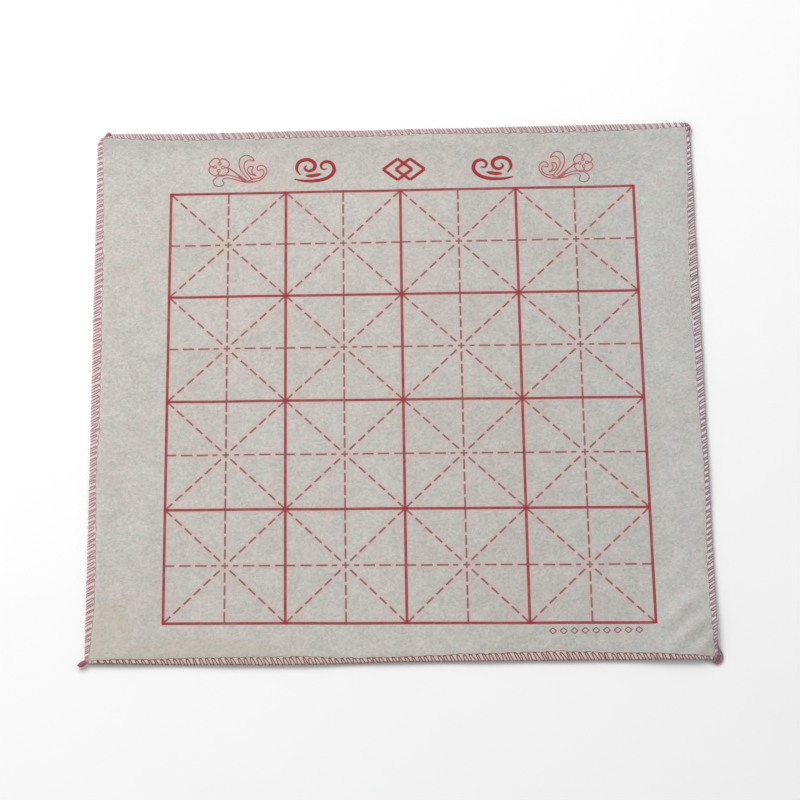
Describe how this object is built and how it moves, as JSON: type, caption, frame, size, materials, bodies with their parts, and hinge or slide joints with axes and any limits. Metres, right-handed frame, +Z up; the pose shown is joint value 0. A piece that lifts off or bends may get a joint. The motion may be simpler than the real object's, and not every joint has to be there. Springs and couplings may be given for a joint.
{
  "type": "calligraphy felt mat",
  "caption": "Flat square mat of pale needle felt with an overlocked rose thread edge and a printed red grid of practice squares, laid under paper for brush writing.",
  "frame": {"origin": "middle of the felt's underside, on the surface that the mat lies on", "axes": "+X to the right of the writer, +Y to the back edge with the ornament band, +Z up out of the printed face"},
  "size_m": [0.5228, 0.4997, 0.0031],
  "materials": {
    "felt": "matt, cloudy needle felt",
    "edge_thread": "soft spun thread",
    "bunched_thread": "soft spun thread, bunched",
    "red_ink": "matt screen print"
  },
  "bodies": {
    "root": {"felt_sheet": "felt", "upper_looper_thread": "edge_thread", "lower_looper_thread": "edge_thread", "needle_thread": "edge_thread", "thread_tail_front_left": "bunched_thread", "corner_loops_front_right": "bunched_thread", "corner_loops_back_right": "bunched_thread", "corner_loops_back_left": "bunched_thread", "printed_grid": "red_ink"}
  },
  "joints": []
}
